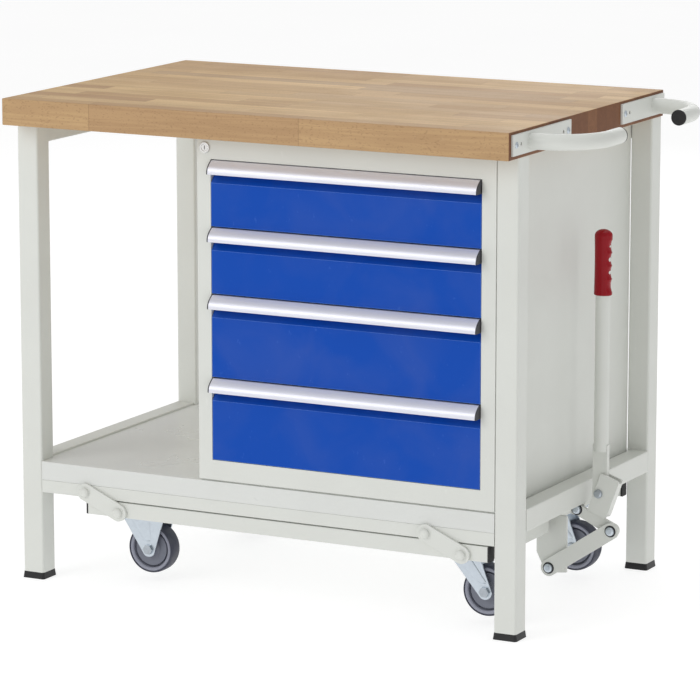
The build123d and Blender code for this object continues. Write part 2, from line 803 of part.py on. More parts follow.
for name, (x, face, side) in link_places.items():
    y_low = min(face, face + side * link_thickness)
    pivots = ((x, upper_pivot_z), (x + link_reach, lower_pivot_z))
    widths = (link_width, link_width)
    link = flat_bar(*pivots, y_low, link_thickness, widths, bolt_radius + running_clearance)
    keep(link, name)

# ---- Lift lever ----
# The crank arm is a fifth link: same length and angle, so the push strut moves with the carriage.

crank_x = x_right - crank_inset
push_x = crank_x + link_reach
crank_z = upper_pivot_z + crank_rise
push_z = crank_z - link_drop
foot_x = push_x - strut_run
foot_z = push_z - strut_fall
knuckle_x = crank_x + knuckle_dx
knuckle_z = crank_z + knuckle_dz
cheek_outer = crank_arm_thickness + channel_sheet
strut_front = -cheek_outer - link_gap - strut_thickness
bracket_front = strut_front + strut_thickness

with BuildPart() as crank_bracket:
    rail_bottom = side_rail_top - side_rail_height
    low = (crank_x - crank_bracket_inner, link_gap, crank_z - crank_bracket_drop)
    high = (crank_x + crank_bracket_outer, link_gap + bracket_thickness, rail_bottom)
    add(block(low, high))
    lower_corners = crank_bracket.edges().filter_by(Axis.Y).group_by(Axis.Z)[0]
    fillet(lower_corners, crank_bracket_drop / 2)
    hole = pin_along_y(crank_x, crank_z, link_gap, high[1], bolt_radius + hole_clearance)
    add(hole, mode=Mode.SUBTRACT)
keep(crank_bracket.part, "crank_bracket")

with BuildPart() as upper_bolts:
    for x, face, side in link_places.values():
        seat = face + side * (link_thickness + link_gap)
        add(pivot_bolt(x, upper_pivot_z, seat, face - side * (link_gap + bolt_reach)))
    seat = -crank_arm_thickness - link_gap
    behind = link_gap + bracket_thickness
    add(pivot_bolt(crank_x, crank_z, seat, behind + nut_height + bolt_end, behind))
keep(upper_bolts.part, "upper_pivot_bolts")

along = (sin(radians(channel_tilt)), cos(radians(channel_tilt)))
across = (along[1], -along[0])
channel_x = knuckle_x + across[0] * channel_offset
channel_z = knuckle_z + across[1] * channel_offset


def channel_plane(along_x, y):
    """A plane across Y, turned with the channel and moved along its short side."""
    origin = (channel_x + across[0] * along_x, y, channel_z + across[1] * along_x)
    return Plane(origin=origin, x_dir=(across[0], 0, across[1]), z_dir=(0, 1, 0))


with BuildPart() as lever_crank:
    arm = ((crank_x, crank_z), (push_x, push_z))
    hole_radius = bolt_radius + running_clearance
    add(flat_bar(*arm, -crank_arm_thickness, crank_arm_thickness, crank_arm_widths, hole_radius))
    for y_low in (-cheek_outer, crank_arm_thickness):
        with BuildSketch(channel_plane(0, y_low)):
            RectangleRounded(channel_width, channel_length, channel_corner)
        extrude(amount=channel_sheet)
    lobe_far = knuckle_dz + channel_offset
    lobe_near = channel_length / 2 - 2 * channel_corner - lobe_overlap
    with BuildSketch(channel_plane(0, -crank_arm_thickness)):
        with Locations((0, (lobe_near + lobe_far) / 2)):
            Rectangle(channel_width - 2 * channel_sheet, lobe_far - lobe_near)
    extrude(amount=crank_arm_thickness)
    with BuildSketch(channel_plane((channel_width - channel_sheet) / 2, -crank_arm_thickness)):
        Rectangle(channel_sheet, channel_length - 2 * channel_corner)
    extrude(amount=2 * crank_arm_thickness)
    hole = pin_along_y(knuckle_x, knuckle_z, -cheek_outer, cheek_outer, bolt_radius + hole_clearance)
    add(hole, mode=Mode.SUBTRACT)
keep(lever_crank.part, "lever_crank")

with BuildPart() as lever_bolt:
    add(pivot_bolt(knuckle_x, knuckle_z, -cheek_outer, cheek_outer + nut_height + bolt_end, cheek_outer))
keep(lever_bolt.part, "lever_bolt")

with BuildPart() as hand_lever:
    tang_length = tube_bottom + tube_lap
    tang_face = (knuckle_x, -tang_thickness / 2, knuckle_z)
    with BuildSketch(Plane(origin=tang_face, x_dir=(1, 0, 0), z_dir=(0, 1, 0))):
        Circle(lever_tang / 2)
        with Locations((0, -tang_length / 2)):
            Rectangle(lever_tang, tang_length)
    extrude(amount=tang_thickness)
    hole = pin_along_y(knuckle_x, knuckle_z, -tang_thickness, tang_thickness, bolt_radius + running_clearance)
    add(hole, mode=Mode.SUBTRACT)
    with BuildSketch(Plane((knuckle_x, 0, knuckle_z + tube_bottom))):
        Circle(lever_tube / 2)
    extrude(amount=lever_length - tube_bottom - lever_grip_end - 0.5)
    with BuildSketch(Plane((knuckle_x, 0, knuckle_z + tang_length + lever_tube_wall))):
        Circle(lever_tube / 2 - lever_tube_wall)
    extrude(amount=lever_length, mode=Mode.SUBTRACT)
keep(hand_lever.part, "hand_lever")

with BuildPart() as lever_grip:
    grip_bottom = knuckle_z + lever_length - lever_grip_length
    with BuildSketch(Plane((knuckle_x, 0, grip_bottom))):
        RectangleRounded(lever_grip_width, lever_grip_thickness, lever_grip_thickness / 2 - 1)
    extrude(amount=lever_grip_length)
    fillet(lever_grip.faces().sort_by(Axis.Z)[-1].edges(), lever_grip_round)
    with BuildSketch(Plane((knuckle_x, 0, grip_bottom))):
        Circle(lever_tube / 2 + hole_clearance)
    extrude(amount=lever_grip_length - lever_grip_end, mode=Mode.SUBTRACT)
keep(lever_grip.part, "lever_grip")

strut_hole = bolt_radius + hole_clearance
strut_ends = ((foot_x, foot_z), (push_x, push_z))
strut_widths = (strut_width, strut_width)
keep(flat_bar(*strut_ends, strut_front, strut_thickness, strut_widths, strut_hole), "push_strut")

# The strut's bracket hangs from the right cross member and reaches out beside the wheel.
bracket_left = member_right - 7
bracket_right = foot_x + bracket_margin
with BuildPart() as strut_bracket:
    with BuildSketch(Plane(origin=(0, bracket_front, 0), x_dir=(1, 0, 0), z_dir=(0, -1, 0))):
        Polygon(
            (member_right, carriage_top),
            (bracket_right, carriage_top),
            (bracket_right, foot_z - 6),
            (foot_x + 6, foot_z - 9),
            (foot_x - 8.5, foot_z - 8),
            (bracket_left, foot_z + 27),
            (bracket_left, carriage_bottom - 1),
            (member_right, carriage_bottom - 1),
            align=None,
        )
        with Locations((foot_x, foot_z)):
            Circle(strut_hole, mode=Mode.SUBTRACT)
    extrude(amount=-bracket_thickness)
    low = (member_right, bracket_front, carriage_bottom)
    high = (member_right + bracket_thickness, bracket_front + bracket_flange, carriage_top)
    add(block(low, high))
keep(strut_bracket.part, "strut_bracket")

with BuildPart() as lower_bolts:
    for x, face, side in lower_pivots.values():
        seat = face + side * (link_thickness + link_gap)
        add(pivot_bolt(x, lower_pivot_z, seat, face - side * (link_gap + bolt_reach)))
    add(pivot_bolt(push_x, push_z, strut_front, link_gap + nut_height + bolt_end, link_gap))
    behind = bracket_front + bracket_thickness
    add(pivot_bolt(foot_x, foot_z, strut_front, behind + nut_height + bolt_end, behind))
keep(lower_bolts.part, "lower_pivot_bolts")
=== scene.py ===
import json
import math
import bmesh
import bpy
import numpy as np
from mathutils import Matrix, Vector


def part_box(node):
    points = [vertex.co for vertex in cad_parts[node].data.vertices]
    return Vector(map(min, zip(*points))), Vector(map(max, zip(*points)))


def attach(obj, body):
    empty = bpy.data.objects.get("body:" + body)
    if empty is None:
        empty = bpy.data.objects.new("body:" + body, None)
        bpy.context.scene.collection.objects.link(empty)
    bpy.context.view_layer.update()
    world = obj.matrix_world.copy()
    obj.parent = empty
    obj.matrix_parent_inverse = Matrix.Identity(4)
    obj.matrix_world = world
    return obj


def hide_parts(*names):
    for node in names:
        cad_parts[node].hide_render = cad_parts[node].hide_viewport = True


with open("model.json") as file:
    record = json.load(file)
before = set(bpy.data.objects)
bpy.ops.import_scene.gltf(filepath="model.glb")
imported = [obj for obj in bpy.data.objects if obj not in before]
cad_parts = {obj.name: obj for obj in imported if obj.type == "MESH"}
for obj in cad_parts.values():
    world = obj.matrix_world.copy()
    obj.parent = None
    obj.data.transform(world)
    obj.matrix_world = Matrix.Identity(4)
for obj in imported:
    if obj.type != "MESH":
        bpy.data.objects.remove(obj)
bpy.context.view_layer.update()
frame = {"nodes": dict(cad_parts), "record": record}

rng = np.random.default_rng(7)


# Shader building: small helpers, then the effects that several finishes share

def addNode(tree, kind, inputs=None, **settings):
    made = tree.nodes.new("ShaderNode" + kind)
    for key, value in settings.items():
        setattr(made, key, value)
    for key, value in (inputs or {}).items():
        if isinstance(value, bpy.types.NodeSocket):
            tree.links.new(value, made.inputs[key])
        else:
            made.inputs[key].default_value = value
    return made


def calc(tree, operation, a, b=0.0, c=0.0):
    # one Math node; a, b and c are numbers or sockets
    return addNode(tree, "Math", {0: a, 1: b, 2: c}, operation=operation).outputs[0]


def mixColour(tree, factor, a, b, blend="MIX"):
    made = addNode(tree, "Mix", {0: factor, 6: a, 7: b}, data_type="RGBA", blend_type=blend)
    return made.outputs[2]


def ramp(tree, factor, stops):
    made = addNode(tree, "ValToRGB", {0: factor})
    elements = made.color_ramp.elements
    while len(elements) < len(stops):
        elements.new(0.5)
    for element, (place, colour) in zip(elements, stops):
        element.position = place
        element.color = (*colour, 1.0) if len(colour) == 3 else colour
    return made.outputs[0]


def startGroup(name, inputs, outputs):
    tree = bpy.data.node_groups.new(name, "ShaderNodeTree")
    for label, kind, value in inputs:
        socket = tree.interface.new_socket(label, in_out="INPUT", socket_type="NodeSocket" + kind)
        socket.default_value = value
    for label, kind in outputs:
        tree.interface.new_socket(label, in_out="OUTPUT", socket_type="NodeSocket" + kind)
    return tree, tree.nodes.new("NodeGroupInput").outputs, tree.nodes.new("NodeGroupOutput").inputs


def useGroup(tree, group, **inputs):
    made = tree.nodes.new("ShaderNodeGroup")
    made.node_tree = group
    for key, value in inputs.items():
        if isinstance(value, bpy.types.NodeSocket):
            tree.links.new(value, made.inputs[key])
        else:
            made.inputs[key].default_value = value
    return made.outputs


def makeRoundEdge():
    # softened normal along sharp edges, a mask that is 1 on the edge and broken up by noise, and an unbroken
    # edge band used as a painted highlight
    tree, given, out = startGroup("roundEdge",
                                  [("Radius", "Float", 0.001), ("Scale", "Float", 60.0)],
                                  [("Normal", "Vector"), ("Mask", "Float"), ("Line", "Float")])
    bevel = addNode(tree, "Bevel", {"Radius": given["Radius"]}, samples=6)
    flat = addNode(tree, "NewGeometry").outputs["Normal"]
    agree = addNode(tree, "VectorMath", {0: bevel.outputs[0], 1: flat},
                    operation="DOT_PRODUCT").outputs["Value"]
    edge = calc(tree, "MULTIPLY", calc(tree, "SUBTRACT", 1.0, agree), 7.0)
    where = addNode(tree, "TexCoord").outputs["Object"]
    chips = addNode(tree, "TexNoise", {"Vector": where, "Scale": given["Scale"],
                                       "Detail": 5.0}).outputs[0]
    broken = addNode(tree, "MapRange", {0: chips, 1: 0.42, 2: 0.66}).outputs[0]
    tree.links.new(calc(tree, "MINIMUM", calc(tree, "MULTIPLY", edge, broken), 1.0), out["Mask"])
    # the unbroken edge band: a painted highlight, not wear
    tree.links.new(calc(tree, "MINIMUM", calc(tree, "MULTIPLY", edge, 2.2), 1.0), out["Line"])
    tree.links.new(bevel.outputs[0], out["Normal"])
    return tree


def makeOrangePeel():
    # the faint dimpling of baked powder: two sizes of noise added up, and a slow drift for the gloss
    tree, given, out = startGroup("orangePeel", [("Scale", "Float", 700.0)],
                                  [("Height", "Float"), ("Drift", "Float")])
    where = addNode(tree, "TexCoord").outputs["Object"]
    fine = addNode(tree, "TexNoise", {"Vector": where, "Scale": given["Scale"],
                                      "Detail": 2.0}).outputs[0]
    wide = calc(tree, "MULTIPLY", given["Scale"], 0.3)
    slow = addNode(tree, "TexNoise", {"Vector": where, "Scale": wide, "Detail": 1.0}).outputs[0]
    drift = addNode(tree, "TexNoise", {"Vector": where, "Scale": 4.0, "Detail": 4.0}).outputs[0]
    tree.links.new(calc(tree, "MULTIPLY_ADD", slow, 0.6, fine), out["Height"])
    tree.links.new(drift, out["Drift"])
    return tree


def makeHandling():
    # where hands and tools leave marks: stretched thin scratches and soft smudges
    tree, given, out = startGroup("handling",
                                  [("Scratch Scale", "Float", 90.0),
                                   ("Smudge Scale", "Float", 9.0)],
                                  [("Scratches", "Float"), ("Smudges", "Float")])
    where = addNode(tree, "TexCoord").outputs["Object"]
    turned = addNode(tree, "Mapping", {"Vector": where, "Rotation": (0.5, 0.9, 0.4),
                                       "Scale": (1.0, 9.0, 0.6)})
    lines = addNode(tree, "TexNoise", {"Vector": turned.outputs[0],
                                       "Scale": given["Scratch Scale"], "Detail": 3.0,
                                       "Roughness": 0.7}).outputs[0]
    thin = addNode(tree, "MapRange", {0: lines, 1: 0.665, 2: 0.72}).outputs[0]
    rub = addNode(tree, "TexNoise", {"Vector": where, "Scale": given["Smudge Scale"],
                                     "Detail": 6.0,
                                     "Distortion": 0.6}).outputs[0]
    tree.links.new(thin, out["Scratches"])
    tree.links.new(addNode(tree, "MapRange", {0: rub, 1: 0.4, 2: 0.72}).outputs[0], out["Smudges"])
    return tree


roundEdge = makeRoundEdge()
orangePeel = makeOrangePeel()
handling = makeHandling()


def startMaterial(name):
    material = bpy.data.materials.new(name)
    material.use_nodes = True
    tree = material.node_tree
    return material, tree, tree.nodes["Principled BSDF"]


def bumpOn(tree, shader, height, strength, distance, normal=None):
    bump = addNode(tree, "Bump", {"Height": height, "Strength": strength, "Distance": distance})
    if normal is not None:
        tree.links.new(normal, bump.inputs["Normal"])
    tree.links.new(bump.outputs[0], shader.inputs["Normal"])


def powderCoat(name, colour, edgeColour, roughness, edgeRadius=0.0012, peel=0.12, shine=0.5,
               highlightLine=0.15):
    # baked powder over steel: orange peel, paler worn edges, a painted highlight band along every sharp
    # edge, faint smudges and scratches
    material, tree, shader = startMaterial(name)
    edge = useGroup(tree, roundEdge, Radius=edgeRadius, Scale=45.0)
    skin = useGroup(tree, orangePeel, Scale=650.0)
    marks = useGroup(tree, handling)
    shade = mixColour(tree, calc(tree, "MULTIPLY", skin["Drift"], 0.10), (*colour, 1),
                      (*[c * 0.86 for c in colour], 1))
    shade = mixColour(tree, calc(tree, "MULTIPLY", marks["Smudges"], 0.05), shade,
                      (0.35, 0.33, 0.30, 1))
    shade = mixColour(tree, calc(tree, "MULTIPLY", edge["Mask"], 0.45), shade, (*edgeColour, 1))
    # painted highlight: the pale edge colour laid unbroken along every sharp edge, standing in for lamp
    # glint on folds and corners
    shade = mixColour(tree, calc(tree, "MULTIPLY", edge["Line"], highlightLine), shade, (*edgeColour, 1))
    shade = mixColour(tree, calc(tree, "MULTIPLY", marks["Scratches"], 0.10), shade,
                      (*edgeColour, 1))
    tree.links.new(shade, shader.inputs["Base Color"])
    gloss = calc(tree, "MULTIPLY_ADD", skin["Drift"], 0.14, roughness - 0.07)
    gloss = calc(tree, "MULTIPLY_ADD", marks["Smudges"], 0.06, gloss)
    tree.links.new(gloss, shader.inputs["Roughness"])
    shader.inputs["Specular IOR Level"].default_value = shine
    bumpOn(tree, shader, skin["Height"], peel, 0.0004, edge["Normal"])
    return material


greyPaint = powderCoat("greyPaint", (0.70, 0.715, 0.675), (0.90, 0.91, 0.89), 0.40, shine=0.5)
# the blue drawer fronts get a strong painted highlight along their folds
bluePaint = powderCoat("bluePaint", (0.003, 0.068, 0.43), (0.16, 0.34, 0.86), 0.36,
                       edgeRadius=0.0016, shine=0.13,
                       highlightLine=0.7)
shelfPaint = powderCoat("shelfPaint", (0.70, 0.715, 0.69), (0.88, 0.89, 0.87), 0.28, peel=0.06,
                        shine=0.6)


def makeBeechStaves():
    # a glued board: long staves side by side along X, butted end to end at random places.
    # Each stave has its own tone, growth lines drawn out along X, and short ray flecks.
    tree, given, out = startGroup("beechStaves",
                                  [("Stave Width", "Float", 0.041),
                                   ("Stave Length", "Float", 0.42)],
                                  [("Color", "Color"), ("Height", "Float"), ("Tone", "Float")])
    where = addNode(tree, "TexCoord").outputs["Object"]
    parts = addNode(tree, "SeparateXYZ", {0: where}).outputs
    across = calc(tree, "DIVIDE", calc(tree, "ADD", parts["Y"], 3.0), given["Stave Width"])
    row = calc(tree, "FLOOR", across)
    rowChance = addNode(tree, "TexWhiteNoise", {"W": row}, noise_dimensions="1D").outputs["Value"]
    along = calc(tree, "DIVIDE", calc(tree, "ADD", parts["X"], 5.0), given["Stave Length"])
    along = calc(tree, "MULTIPLY_ADD", rowChance, 5.3, along)
    stave = calc(tree, "FLOOR", along)
    pair = addNode(tree, "CombineXYZ", {0: row, 1: stave, 2: 0.5}).outputs[0]
    chance = addNode(tree, "TexWhiteNoise", {"Vector": pair}, noise_dimensions="3D")
    shiftBy = addNode(tree, "VectorMath", {0: chance.outputs["Color"], "Scale": 9.0},
                      operation="SCALE").outputs[0]
    moved = addNode(tree, "VectorMath", {0: where, 1: shiftBy}, operation="ADD").outputs[0]
    long = addNode(tree, "Mapping", {"Vector": moved, "Scale": (1.6, 38.0, 38.0)}).outputs[0]
    figure = addNode(tree, "TexNoise", {"Vector": long, "Scale": 1.0, "Detail": 3.0,
                                        "Distortion": 0.8}).outputs[0]
    rings = calc(tree, "SINE", calc(tree, "MULTIPLY", figure, 34.0))
    rings = calc(tree, "MULTIPLY_ADD", rings, 0.5, 0.5)
    fibreSpace = addNode(tree, "Mapping", {"Vector": moved,
                                           "Scale": (14.0, 620.0, 620.0)}).outputs[0]
    fibre = addNode(tree, "TexNoise", {"Vector": fibreSpace, "Scale": 1.0, "Detail": 4.0,
                                       "Roughness": 0.6}).outputs[0]
    fleckSpace = addNode(tree, "Mapping", {"Vector": moved,
                                           "Scale": (210.0, 950.0, 420.0)}).outputs[0]
    fleck = addNode(tree, "TexNoise", {"Vector": fleckSpace, "Scale": 1.0,
                                       "Detail": 1.0}).outputs[0]
    fleck = addNode(tree, "MapRange", {0: fleck, 1: 0.60, 2: 0.70}).outputs[0]
    tone = ramp(tree, chance.outputs["Value"], [
        (0.0, (0.450, 0.282, 0.142)), (0.3, (0.520, 0.340, 0.168)),
        (0.65, (0.680, 0.480, 0.240)), (1.0, (0.470, 0.325, 0.190))])
    shade = mixColour(tree, calc(tree, "MULTIPLY", rings, 0.24), tone, (0.235, 0.112, 0.050, 1))
    shade = mixColour(tree, calc(tree, "MULTIPLY", fibre, 0.34), shade, (0.56, 0.36, 0.20, 1))
    shade = mixColour(tree, calc(tree, "MULTIPLY", fleck, 0.30), shade, (0.17, 0.080, 0.037, 1))
    sideways = calc(tree, "SUBTRACT", across, row)
    fromEdge = calc(tree, "MINIMUM", sideways, calc(tree, "SUBTRACT", 1.0, sideways))
    glueLine = addNode(tree, "MapRange", {0: fromEdge, 1: 0.004, 2: 0.016, 3: 1.0,
                                          4: 0.0}).outputs[0]
    lengthways = calc(tree, "SUBTRACT", along, stave)
    fromButt = calc(tree, "MINIMUM", lengthways, calc(tree, "SUBTRACT", 1.0, lengthways))
    buttLine = addNode(tree, "MapRange", {0: fromButt, 1: 0.0006, 2: 0.0022, 3: 1.0,
                                          4: 0.0}).outputs[0]
    joint = calc(tree, "MAXIMUM", glueLine, buttLine)
    shade = mixColour(tree, calc(tree, "MULTIPLY", joint, 0.38), shade, (0.13, 0.060, 0.030, 1))
    normal = addNode(tree, "SeparateXYZ", {0: addNode(tree,
                                                      "NewGeometry").outputs["Normal"]}).outputs
    endGrain = calc(tree, "GREATER_THAN", calc(tree, "ABSOLUTE", normal["X"]), 0.7)
    soaked = mixColour(tree, 1.0, shade, (0.36, 0.22, 0.18, 1), blend="MULTIPLY")
    shade = mixColour(tree, endGrain, shade, soaked)
    height = calc(tree, "MULTIPLY_ADD", fibre, 0.5, calc(tree, "MULTIPLY", joint, -0.8))
    tree.links.new(shade, out["Color"])
    tree.links.new(height, out["Height"])
    tree.links.new(fibre, out["Tone"])
    return tree


def oiledBeech():
    material, tree, shader = startMaterial("oiledBeech")
    wood = useGroup(tree, makeBeechStaves())
    edge = useGroup(tree, roundEdge, Radius=0.0018, Scale=30.0)
    marks = useGroup(tree, handling, **{"Scratch Scale": 70.0, "Smudge Scale": 6.0})
    shade = mixColour(tree, calc(tree, "MULTIPLY", marks["Smudges"], 0.12), wood["Color"],
                      (0.20, 0.11, 0.06, 1))
    shade = mixColour(tree, calc(tree, "MULTIPLY", marks["Scratches"], 0.10), shade,
                      (0.62, 0.46, 0.31, 1))
    tree.links.new(shade, shader.inputs["Base Color"])
    gloss = calc(tree, "MULTIPLY_ADD", wood["Tone"], 0.16, 0.46)
    tree.links.new(calc(tree, "MULTIPLY_ADD", marks["Smudges"], 0.08, gloss),
                   shader.inputs["Roughness"])
    shader.inputs["Specular IOR Level"].default_value = 0.28
    bumpOn(tree, shader, wood["Height"], 0.25, 0.0005, edge["Normal"])
    return material


def mouldedPlastic(name, colour, roughness, grainScale, grainDepth, paleEdge=1.6, shine=0.4):
    # pebbled mould texture, slightly rubbed on its edges
    material, tree, shader = startMaterial(name)
    edge = useGroup(tree, roundEdge, Radius=0.0009, Scale=80.0)
    marks = useGroup(tree, handling)
    where = addNode(tree, "TexCoord").outputs["Object"]
    pebble = addNode(tree, "TexVoronoi", {"Vector": where,
                                          "Scale": grainScale}).outputs["Distance"]
    rubbed = (*[min(1.0, c * paleEdge + 0.02) for c in colour], 1)
    shade = mixColour(tree, calc(tree, "MULTIPLY", edge["Mask"], 0.5), (*colour, 1), rubbed)
    shade = mixColour(tree, calc(tree, "MULTIPLY", marks["Smudges"], 0.18), shade, rubbed)
    tree.links.new(shade, shader.inputs["Base Color"])
    tree.links.new(calc(tree, "MULTIPLY_ADD", marks["Smudges"], 0.12, roughness),
                   shader.inputs["Roughness"])
    shader.inputs["Specular IOR Level"].default_value = shine
    bumpOn(tree, shader, pebble, grainDepth, 0.0004, edge["Normal"])
    return material


def zincPlate(name, colour, roughness, crystal=140.0, spread=0.10):
    # plated steel: crystals of slightly different brightness, and thin rub lines
    material, tree, shader = startMaterial(name)
    edge = useGroup(tree, roundEdge, Radius=0.0008, Scale=120.0)
    marks = useGroup(tree, handling, **{"Scratch Scale": 160.0})
    where = addNode(tree, "TexCoord").outputs["Object"]
    spangle = addNode(tree, "TexVoronoi", {"Vector": where, "Scale": crystal}).outputs["Color"]
    grey = addNode(tree, "SeparateColor", {0: spangle}).outputs[0]
    dark = (*[c * (1.0 - 2.2 * spread) for c in colour], 1)
    shade = mixColour(tree, grey, (*colour, 1), dark)
    shade = mixColour(tree, calc(tree, "MULTIPLY", marks["Smudges"], 0.25), shade, dark)
    shade = mixColour(tree, calc(tree, "MULTIPLY", edge["Mask"], 0.6), shade, (0.9, 0.92, 0.94, 1))
    tree.links.new(shade, shader.inputs["Base Color"])
    gloss = calc(tree, "MULTIPLY_ADD", grey, spread, roughness - spread / 2)
    tree.links.new(calc(tree, "MULTIPLY_ADD", marks["Scratches"], 0.12, gloss),
                   shader.inputs["Roughness"])
    shader.inputs["Metallic"].default_value = 1.0
    bumpOn(tree, shader, marks["Scratches"], 0.10, 0.0002, edge["Normal"])
    return material


def anodisedGrip():
    # extruded aluminium: die lines that run along X, satin anodised
    material, tree, shader = startMaterial("anodisedGrip")
    edge = useGroup(tree, roundEdge, Radius=0.0006, Scale=90.0)
    marks = useGroup(tree, handling)
    where = addNode(tree, "TexCoord").outputs["Object"]
    drawn = addNode(tree, "Mapping", {"Vector": where, "Scale": (1.5, 900.0, 900.0)}).outputs[0]
    lines = addNode(tree, "TexNoise", {"Vector": drawn, "Scale": 1.0, "Detail": 3.0}).outputs[0]
    shade = mixColour(tree, lines, (0.70, 0.71, 0.80, 1), (0.82, 0.83, 0.90, 1))
    shade = mixColour(tree, calc(tree, "MULTIPLY", marks["Smudges"], 0.16), shade,
                      (0.62, 0.62, 0.66, 1))
    tree.links.new(shade, shader.inputs["Base Color"])
    tree.links.new(calc(tree, "MULTIPLY_ADD", lines, 0.16, 0.30), shader.inputs["Roughness"])
    shader.inputs["Metallic"].default_value = 0.30
    bumpOn(tree, shader, lines, 0.12, 0.0002, edge["Normal"])
    return material


def wheelTread():
    # non-marking rubber, dark blue-grey, dustier where it rolls
    material, tree, shader = startMaterial("wheelTread")
    marks = useGroup(tree, handling, **{"Smudge Scale": 30.0})
    where = addNode(tree, "TexCoord").outputs["Object"]
    pores = addNode(tree, "TexNoise", {"Vector": where, "Scale": 900.0, "Detail": 2.0}).outputs[0]
    shade = mixColour(tree, calc(tree, "MULTIPLY", marks["Smudges"], 0.35),
                      (0.032, 0.036, 0.062, 1), (0.12, 0.12, 0.13, 1))
    tree.links.new(shade, shader.inputs["Base Color"])
    tree.links.new(calc(tree, "MULTIPLY_ADD", pores, 0.25, 0.42), shader.inputs["Roughness"])
    bumpOn(tree, shader, pores, 0.3, 0.0003)
    return material


materials = {
    "beech": oiledBeech(),
    "grey_paint": greyPaint,
    "black_plastic": mouldedPlastic("blackPlastic", (0.012, 0.012, 0.013), 0.42, 900.0, 0.25),
    "zinc_steel": zincPlate("brightZinc", (0.60, 0.66, 0.72), 0.36, crystal=180.0, spread=0.025),
    "chrome_lock": zincPlate("lockNickel", (0.78, 0.77, 0.75), 0.16, crystal=20.0, spread=0.03),
    "blue_paint": bluePaint,
    "galvanised_steel": zincPlate("galvanisedSheet", (0.58, 0.60, 0.62), 0.38, crystal=60.0,
                                  spread=0.14),
    "grip_aluminium": anodisedGrip(),
    "red_grip": mouldedPlastic("redGrip", (0.27, 0.002, 0.008), 0.16, 1500.0, 0.06, paleEdge=1.3,
                               shine=0.2),
    "wheel_rubber": wheelTread(),
}
wheelHubGrey = mouldedPlastic("wheelHubGrey", (0.16, 0.17, 0.21), 0.34, 1200.0, 0.15)
wheelRingGrey = mouldedPlastic("wheelRingGrey", (0.27, 0.28, 0.34), 0.38, 1200.0, 0.15)
# black washer: a real part, but its near-black colour is painted shade for the shadow ring under the strut
# and crank bolt heads
shadeRingWasher = mouldedPlastic("shadeRingWasher", (0.03, 0.03, 0.035), 0.5, 900.0, 0.1)
boltZinc = zincPlate("boltZinc", (0.44, 0.48, 0.52), 0.30, crystal=300.0, spread=0.05)
gripEndGrey = mouldedPlastic("gripEndGrey", (0.045, 0.045, 0.055), 0.42, 900.0, 0.2)
print("materials made")

for part in frame["record"]["subparts"]:
    node = frame["nodes"][part["node"]]
    node.data.materials.clear()
    node.data.materials.append(materials[part["material_slot"]])
frame["nodes"]["shelf"].data.materials[0] = shelfPaint
for node in ("castor_bolts", "swivel_axle_front", "swivel_axle_rear", "lever_bolt"):
    frame["nodes"][node].data.materials[0] = boltZinc
print("CAD nodes painted")


# Mesh building: every new piece is a grid of points, one row per profile point or station

def gridMesh(name, points, material, body, closedRows=False, closedColumns=True,
             caps=(False, False), smooth=True):
    # points[i, j] is the surface at row i, column j; quads join neighbours, fans close the two ends
    rows, columns = points.shape[:2]
    ids = np.arange(rows * columns).reshape(rows, columns)
    below = np.roll(ids, -1, axis=0) if closedRows else ids[1:]
    here = ids if closedRows else ids[:-1]
    if closedColumns:
        a, b, c, d = here, np.roll(here, -1, axis=1), np.roll(below, -1, axis=1), below
    else:
        a, b, c, d = here[:, :-1], here[:, 1:], below[:, 1:], below[:, :-1]
    faces = np.stack([a, b, c, d], axis=-1).reshape(-1, 4).tolist()
    vertices = points.reshape(-1, 3)
    for end, wanted in zip((0, rows - 1), caps):
        if wanted:
            centre = len(vertices)
            vertices = np.vstack([vertices, points[end].mean(axis=0)])
            ring = ids[end]
            fan = np.stack([ring, np.roll(ring, -1), np.full(columns, centre)], axis=-1)
            faces += (fan[:, ::-1] if end == 0 else fan).tolist()
    mesh = bpy.data.meshes.new(name)
    mesh.from_pydata(vertices.tolist(), [], faces)
    mesh.validate()
    mesh.update()
    piece = bpy.data.objects.new(name, mesh)
    bpy.context.scene.collection.objects.link(piece)
    mesh.materials.append(material)
    if smooth:
        mesh.polygons.foreach_set("use_smooth", np.ones(len(mesh.polygons), dtype=bool))
    outwards(mesh)
    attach(piece, body)
    return piece


def outwards(mesh):
    # a closed shell with a negative signed volume is inside out, so its faces are turned round
    mesh.calc_loop_triangles()
    corners = np.empty(len(mesh.vertices) * 3)
    mesh.vertices.foreach_get("co", corners)
    corners = corners.reshape(-1, 3)
    triangles = np.empty(len(mesh.loop_triangles) * 3, dtype=np.int32)
    mesh.loop_triangles.foreach_get("vertices", triangles)
    a, b, c = (corners[triangles.reshape(-1, 3)[:, i]] for i in range(3))
    if np.einsum("ij,ij->i", a, np.cross(b, c)).sum() < 0:
        mesh.flip_normals()


def softProfile(points, radius, steps=4):
    # rounds each corner of a closed outline with a quadratic curve that starts radius before it
    points = np.asarray(points, dtype=float)
    before = np.roll(points, 1, axis=0) - points
    after = np.roll(points, -1, axis=0) - points
    reach = np.minimum(radius, 0.45 * np.linalg.norm(before, axis=1))[:, None]
    start = points + before / np.linalg.norm(before, axis=1)[:, None] * reach
    reach = np.minimum(radius, 0.45 * np.linalg.norm(after, axis=1))[:, None]
    end = points + after / np.linalg.norm(after, axis=1)[:, None] * reach
    t = np.linspace(0, 1, steps)[None, :, None]
    curve = (1 - t) ** 2 * start[:, None] + 2 * t * (1 - t) * points[:, None] + t ** 2 * end[:,
                                                                                             None]
    return curve.reshape(-1, 2)


